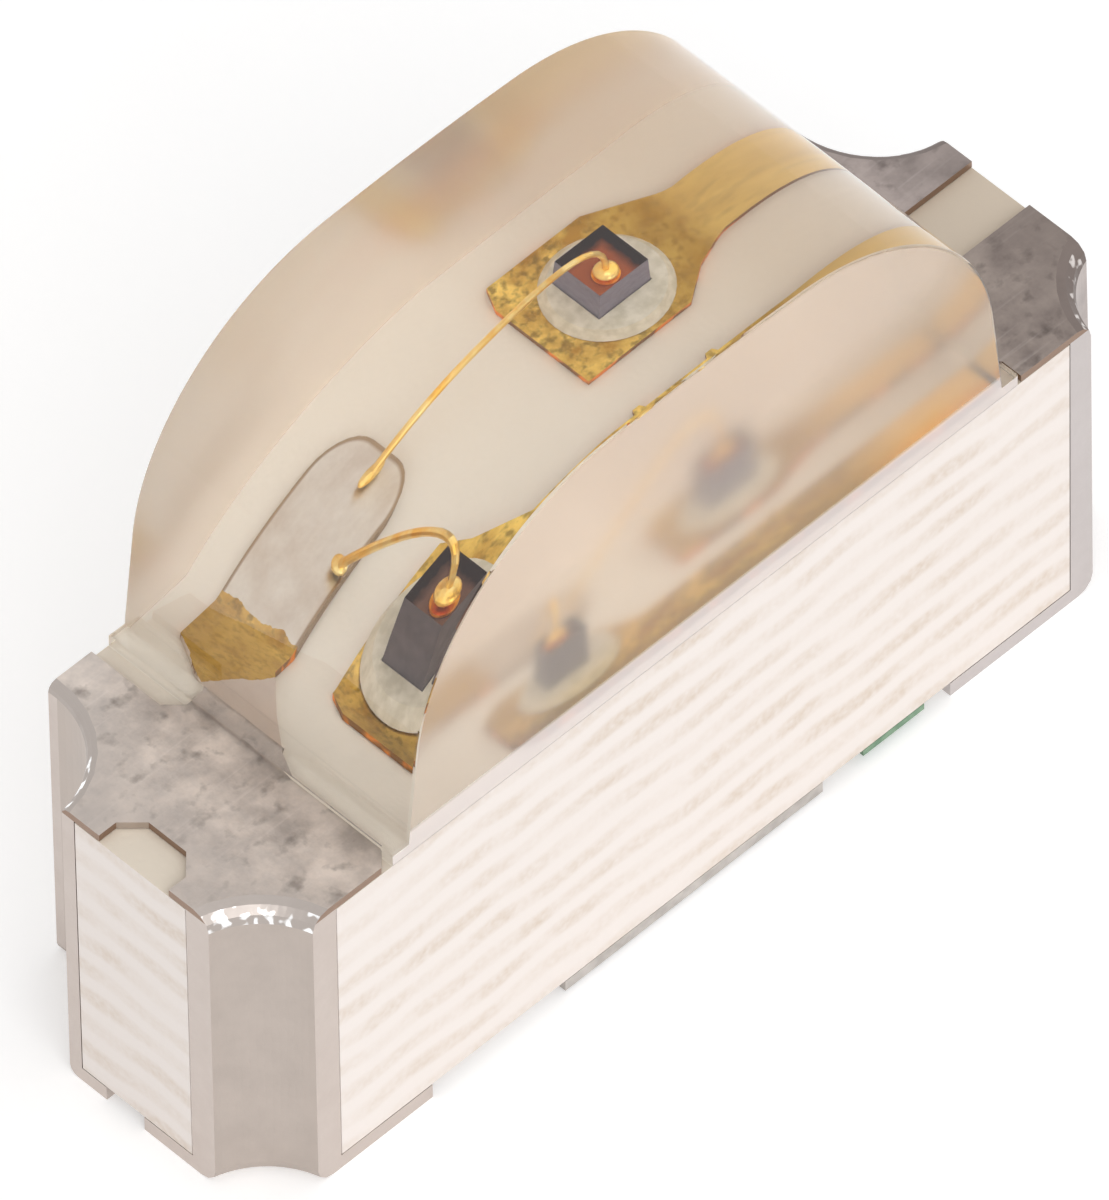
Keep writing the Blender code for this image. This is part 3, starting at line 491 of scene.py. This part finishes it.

# %% [markdown]
# ## Dice, resin beads and bond wires
#
# Each die is a sawn crystal on a bead of silver-filled resin. The saw leaves its upright
# sides blue-grey and matt, while its top is polished and dark red-brown, with a painted shade
# along the two edges that face away from the light. Its middle is painted orange-brown, a
# painted reflection of the gold ball on it. The resin bead is pale and satin, and its flakes are
# far too fine to be seen one by one. The wires are drawn gold, so they are smooth and bright.

# %% Finishes under the lens
def plain(name, low, high, size_mm, roughness, metallic, bump_mm):
    """A mottled finish between two tones, with a grain of one size."""
    mat, tree, shader, where = material(name)
    noise = add(tree, "ShaderNodeTexNoise", {"Vector": where, "Scale": per(size_mm), "Detail": 3.0})
    spread = add(tree, "ShaderNodeMapRange", {"Value": noise, "From Min": 0.35, "From Max": 0.65})
    colour = add(tree, "ShaderNodeMix", {"Factor": spread, "A": linear(low), "B": linear(high)}, data_type="RGBA")
    bump = add(tree, "ShaderNodeBump", {"Strength": 0.5, "Distance": bump_mm * MM, "Height": noise})
    fill(tree, shader, {"Base Color": colour, "Roughness": roughness, "Metallic": metallic, "Normal": bump})
    return mat


def crystal(name, node, side_low, side_high, ball_reflection_tone, rim):
    """A die: matt sawn sides, and a polished top with a painted shade along its two far edges and a painted
    reflection of the ball in its middle.
    """
    mat, tree, shader, where = material(name)
    low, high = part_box(node)
    centre, half_side = (low + high) / 2, (high.x - low.x) / 2
    grain = add(tree, "ShaderNodeTexNoise", {"Vector": where, "Scale": per(0.02), "Detail": 3.0})
    sides = add(tree, "ShaderNodeMix", {"Factor": grain, "A": linear(side_low), "B": linear(side_high)},
                data_type="RGBA")
    # the top's two far edges carry a painted shade in the rim tone, and its middle a painted reflection of the gold
    # ball
    off = add(tree, "ShaderNodeVectorMath", [where, tuple(centre)], operation="SUBTRACT")
    parts = add(tree, "ShaderNodeSeparateXYZ", [off])
    far = add(tree, "ShaderNodeMath", [parts.outputs["X"], parts.outputs["Y"]], operation="MAXIMUM")
    wavy = add(tree, "ShaderNodeMath", [grain, 0.02 * MM, far], operation="MULTIPLY_ADD")
    edge = add(tree, "ShaderNodeMapRange", {"Value": wavy, "From Min": half_side * 0.40,
                                            "From Max": half_side * 0.75})
    top = add(tree, "ShaderNodeMix", {"Factor": edge, "A": linear(ball_reflection_tone), "B": linear(rim)}, data_type="RGBA")
    facing = add(tree, "ShaderNodeSeparateXYZ", [add(tree, "ShaderNodeNewGeometry").outputs["Normal"]])
    level = add(tree, "ShaderNodeMath", [facing.outputs["Z"], 0.5], operation="GREATER_THAN")
    colour = add(tree, "ShaderNodeMix", {"Factor": level, "A": sides, "B": top}, data_type="RGBA")
    rough = add(tree, "ShaderNodeMapRange", {"Value": level, "To Min": 0.60, "To Max": 0.40})
    fill(tree, shader, {"Base Color": colour, "Roughness": rough, "Specular IOR Level": 0.15})
    return mat


silver = plain("silver-filled resin, cured", "#DDD2B8", "#F4EAD4", 0.030, 0.45, 0.0, 0.001)
contact = plain("gold contact, evaporated", "#E08A1E", "#FFB23C", 0.02, 0.30, 1.0, 0.0004)
drawn = plain("gold wire, drawn", "#FFC95A", "#FFE49A", 0.05, 0.30, 1.0, 0.0001)
resist = plain("pale solder resist, screened", "#B9B2AC", "#CFC8C2", 0.05, 0.55, 0.0, 0.002)
green = plain("green ink, screened", "#6E8F74", "#8AA88C", 0.04, 0.55, 0.0, 0.002)
first_die = crystal("crystal die, sawn, back", "back_die", "#7C7480", "#9E98A6", "#A8562A", "#200B0A")
second_die = crystal("crystal die, sawn, front", "front_die", "#5A4F50", "#7E7272", "#7A5644", "#26100C")
for mat, names in ((silver, ("back_die_attach", "front_die_attach")), (first_die, ("back_die",)),
                   (second_die, ("front_die",)), (contact, ("back_die_electrode", "front_die_electrode")),
                   (drawn, ("back_bond_wire", "front_bond_wire")), (resist, ("underside_resist",)),
                   (green, ("polarity_mark",))):
    for node in names:
        nodes[node].data.materials.clear()
        nodes[node].data.materials.append(mat)
    print(mat.name, "on", ", ".join(names))

# %% [markdown]
# ## The lens
#
# The lens is clear epoxy, moulded as a long ridge over many parts and then sawn through with
# the board. So its curved skin is glossy from the mould, and its flat front and back faces
# carry the saw's fine frost. It is modelled as half of the arch's outline: a foot, a
# slightly drafted side, then one spin for the shoulder and one for the crown. A mirror and
# an extrusion make the body. It is one solid, sunk a little into the board, because any
# film of air between the epoxy and what it holds would shine like a mirror.

# %% Build the lens
LENS_LOW, LENS_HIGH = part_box("lens")
HALF_LENGTH, DRAFT, SHOULDER, CROWN = 1.013 * MM, 0.117, 0.693 * MM, 6.740 * MM
FLASH_TOP = 0.037 * MM
SINK = 0.004 * MM
EDGE = 0.006 * MM


def shoulder_centre():
    """Centre (x, z above the foot) of the shoulder arc that touches the side and the crown."""
    height = LENS_HIGH.z - LENS_LOW.z
    slope = math.hypot(1.0, DRAFT)
    low, high = -height, height - SHOULDER
    for _ in range(60):
        z = (low + high) / 2
        x = HALF_LENGTH - SHOULDER * slope - z * DRAFT
        inside = math.hypot(x, z - height + CROWN) < CROWN - SHOULDER
        low, high = (z, high) if inside else (low, z)
    return x, z


bm = bmesh.new()
foot, front = LENS_LOW.z, LENS_LOW.y
cx, cz = shoulder_centre()
side = math.atan2(1.0, DRAFT)
crown_z = LENS_HIGH.z - LENS_LOW.z - CROWN
meet = math.atan2(cx, cz - crown_z)
outline = [(0.0, -SINK), (LENS_HIGH.x, -SINK), (LENS_HIGH.x, FLASH_TOP),
           (HALF_LENGTH - FLASH_TOP * DRAFT, FLASH_TOP),
           (cx + SHOULDER * math.sin(side), cz + SHOULDER * math.cos(side))]
verts = [bm.verts.new((x, front, foot + z)) for x, z in outline]
for a, b in zip(verts, verts[1:]):
    bm.edges.new((a, b))
for centre_x, centre_z, angle, steps in ((cx, cz, side - meet, 40), (0.0, crown_z, meet, 16)):
    bm.verts.ensure_lookup_table()
    bmesh.ops.spin(bm, geom=[bm.verts[-1]], cent=(centre_x, front, foot + centre_z), axis=(0, 1, 0),
                   dvec=(0, 0, 0), angle=-angle, steps=steps, use_merge=False)
print("lens outline, right half:", len(bm.verts), "points")
half = bmesh.ops.duplicate(bm, geom=bm.verts[:] + bm.edges[:])["geom"]
bmesh.ops.scale(bm, verts=[g for g in half if isinstance(g, bmesh.types.BMVert)], vec=(-1, 1, 1))
bmesh.ops.remove_doubles(bm, verts=bm.verts[:], dist=1e-7)
face = bmesh.ops.contextual_create(bm, geom=bm.edges[:])["faces"]
pulled = bmesh.ops.extrude_face_region(bm, geom=face)["geom"]
bmesh.ops.translate(bm, verts=[g for g in pulled if isinstance(g, bmesh.types.BMVert)],
                    vec=(0, LENS_HIGH.y - LENS_LOW.y, 0))
bmesh.ops.recalc_face_normals(bm, faces=bm.faces[:])
print("lens:", len(bm.faces), "faces")

# %% Round the sawn edges and set the shading
rims = [e for e in bm.edges if len(e.link_faces) == 2 and e.calc_face_angle() > math.radians(60)
        and abs(abs(e.verts[0].co.y) - abs(front)) < 1e-7 and abs(e.verts[0].co.y - e.verts[1].co.y) < 1e-7
        and min(v.co.z for v in e.verts) > foot + FLASH_TOP / 2]
bmesh.ops.bevel(bm, geom=rims, offset=EDGE, offset_type="OFFSET", segments=2, profile=0.5, affect="EDGES",
                material=-1, clamp_overlap=True)
for face in bm.faces:
    face.smooth = abs(face.normal.y) < 0.99
for edge in bm.edges:
    edge.smooth = len(edge.link_faces) == 2 and edge.calc_face_angle() < math.radians(10)
mesh = bpy.data.meshes.new("lens_body")
bm.to_mesh(mesh)
bm.free()
lens = bpy.data.objects.new("lens_body", mesh)
bpy.context.scene.collection.objects.link(lens)
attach(lens, "root")
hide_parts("lens")
print("lens body:", len(mesh.polygons), "faces after the edges are rounded")

# %% The lens's material
# Moulded skin: clear and glossy. Sawn faces: the saw's frost scatters about a sixth of the light
# before it gets through, so they look milky beige, and what lies behind them shows faintly.
# The rear face looks cloudier in the photograph. A millimetre of epoxy takes next to nothing
# from the light, so the body needs no absorbing volume.
#
# Two tints are painted on, where the photograph shows a glow that this lens doesn't bring out
# by itself: an orange patch on the rear face, and a gold band on the front one. The glow is
# probably light from the gold that the real lens bends, but that wasn't settled. Paint stays in
# place when the view changes, so both are kept weak and soft.
CUT_FACING = 0.95        # how squarely a sawn face looks along Y
MOULDED_ROUGHNESS, SAWN_ROUGHNESS = 0.03, 0.27
MOULDED_CLEAR, FRONT_CLEAR, REAR_CLEAR = 1.0, 0.84, 0.45
BAND_LEFT, BAND_RIGHT, BAND_TOP, BAND_FADE = -0.60 * MM, 0.99 * MM, 0.26 * MM, 0.18 * MM
BAND_ENDS = 0.15 * MM, 0.22 * MM             # over which the band fades at its left and right end
ORANGE_START, ORANGE_FULL = 0.25 * MM, 0.80 * MM
PALE_TOP, PALE_SOFT = 0.075 * MM, 0.008 * MM
PALE_CLEAR, ORANGE_CLEAR = 0.35, 0.70
GLOW_PLACE, GLOW_SPREAD = Vector((0.10, 0.485, 1.55)) * MM, (0.50 * MM, 1.0 * MM, 0.30 * MM)
epoxy, tree, shader, where = material("clear epoxy, moulded and sawn")
facing = add(tree, "ShaderNodeSeparateXYZ", [add(tree, "ShaderNodeNewGeometry").outputs["Normal"]])
square = add(tree, "ShaderNodeMath", [facing.outputs["Y"]], operation="ABSOLUTE")
cut = add(tree, "ShaderNodeMath", [square, CUT_FACING], operation="GREATER_THAN")
rough = add(tree, "ShaderNodeMapRange", {"Value": cut, "To Min": MOULDED_ROUGHNESS, "To Max": SAWN_ROUGHNESS})
rear = add(tree, "ShaderNodeMath", [add(tree, "ShaderNodeSeparateXYZ", [where]).outputs["Y"], 0.0],
           operation="GREATER_THAN")
clouds = add(tree, "ShaderNodeTexNoise", {"Vector": where, "Scale": per(0.35), "Detail": 1.0})
milk = add(tree, "ShaderNodeMix", {"Factor": clouds, "A": linear("#F4E2D0"), "B": linear("#FFF4E8")},
           data_type="RGBA")
# at the silhouette the moulded skin is tinted orange: a painted reflection of the gold at the lens's rim
skin_edge = add(tree, "ShaderNodeLayerWeight", {"Blend": 0.5})
glow = add(tree, "ShaderNodeMapRange", {"Value": skin_edge.outputs["Facing"], "From Min": 0.93, "From Max": 1.0})
skin = add(tree, "ShaderNodeMix", {"Factor": glow, "A": linear("#FFFFFF"), "B": linear("#F6BC84")}, data_type="RGBA")
# the painted orange patch on the rear face
spot = add(tree, "ShaderNodeVectorMath", [where, tuple(GLOW_PLACE)], operation="SUBTRACT")
spot = add(tree, "ShaderNodeVectorMath", [spot, GLOW_SPREAD], operation="DIVIDE")
spot = add(tree, "ShaderNodeVectorMath", [spot], operation="LENGTH")
patch = add(tree, "ShaderNodeMapRange", {"Value": spot.outputs["Value"], "From Min": 1.0, "From Max": 0.0,
                                         "To Max": 0.30}, interpolation_type="SMOOTHSTEP")
rear_milk = add(tree, "ShaderNodeMix", {"Factor": clouds, "A": linear("#F6DEC6"), "B": linear("#FFEEDC")},
                data_type="RGBA")
rear_milk = add(tree, "ShaderNodeMix", {"Factor": patch, "A": rear_milk, "B": linear("#FFA468")}, data_type="RGBA")
# the painted gold band on the front face, which fades upwards and turns orange at its right end
place_on = add(tree, "ShaderNodeSeparateXYZ", [where])
band = add(tree, "ShaderNodeMapRange", {"Value": place_on.outputs["Z"], "From Min": foot + BAND_TOP,
                                        "From Max": foot + BAND_TOP - BAND_FADE}, interpolation_type="SMOOTHSTEP")
for low, high in ((BAND_LEFT, BAND_LEFT + BAND_ENDS[0]), (BAND_RIGHT, BAND_RIGHT - BAND_ENDS[1])):
    kept = add(tree, "ShaderNodeMapRange", {"Value": place_on.outputs["X"], "From Min": low, "From Max": high})
    band = add(tree, "ShaderNodeMath", [band, kept], operation="MULTIPLY")
brighter = add(tree, "ShaderNodeMapRange", {"Value": place_on.outputs["X"], "From Min": ORANGE_START,
                                            "From Max": ORANGE_FULL})
tinted = add(tree, "ShaderNodeMix", {"Factor": brighter, "A": linear("#F0D8A4"), "B": linear("#FFCC70")},
             data_type="RGBA")
milk = add(tree, "ShaderNodeMix", {"Factor": band, "A": milk, "B": tinted}, data_type="RGBA")
# below that band the face is as white as the sawn board, so the foot is painted pale
pale = add(tree, "ShaderNodeMapRange", {"Value": place_on.outputs["Z"], "From Min": foot + PALE_TOP + PALE_SOFT,
                                        "From Max": foot + PALE_TOP - PALE_SOFT})
milk = add(tree, "ShaderNodeMix", {"Factor": pale, "A": milk, "B": linear("#FBF1EE")}, data_type="RGBA")
milk = add(tree, "ShaderNodeMix", {"Factor": rear, "A": milk, "B": rear_milk}, data_type="RGBA")
tint = add(tree, "ShaderNodeMix", {"Factor": cut, "A": skin, "B": milk}, data_type="RGBA")
bright_band = add(tree, "ShaderNodeMath", [band, brighter], operation="MULTIPLY")
band_clear = add(tree, "ShaderNodeMapRange", {"Value": bright_band, "To Min": FRONT_CLEAR, "To Max": ORANGE_CLEAR})
front_clear = add(tree, "ShaderNodeMapRange", {"Value": pale, "To Min": band_clear, "To Max": PALE_CLEAR})
sawn_clear = add(tree, "ShaderNodeMapRange", {"Value": rear, "To Min": front_clear, "To Max": REAR_CLEAR})
clear = add(tree, "ShaderNodeMapRange", {"Value": cut, "To Min": MOULDED_CLEAR, "To Max": sawn_clear})
fill(tree, shader, {"Base Color": tint, "Roughness": rough, "Transmission Weight": clear, "IOR": 1.54})
mesh.materials.append(epoxy)
print("epoxy: IOR 1.54, frost", SAWN_ROUGHNESS, "on the sawn faces")

# %% [markdown]
# ## Finishing
#
# The last line brings the scene up to date, so every piece stands where it was placed.

# %% Finish
bpy.context.view_layer.update()
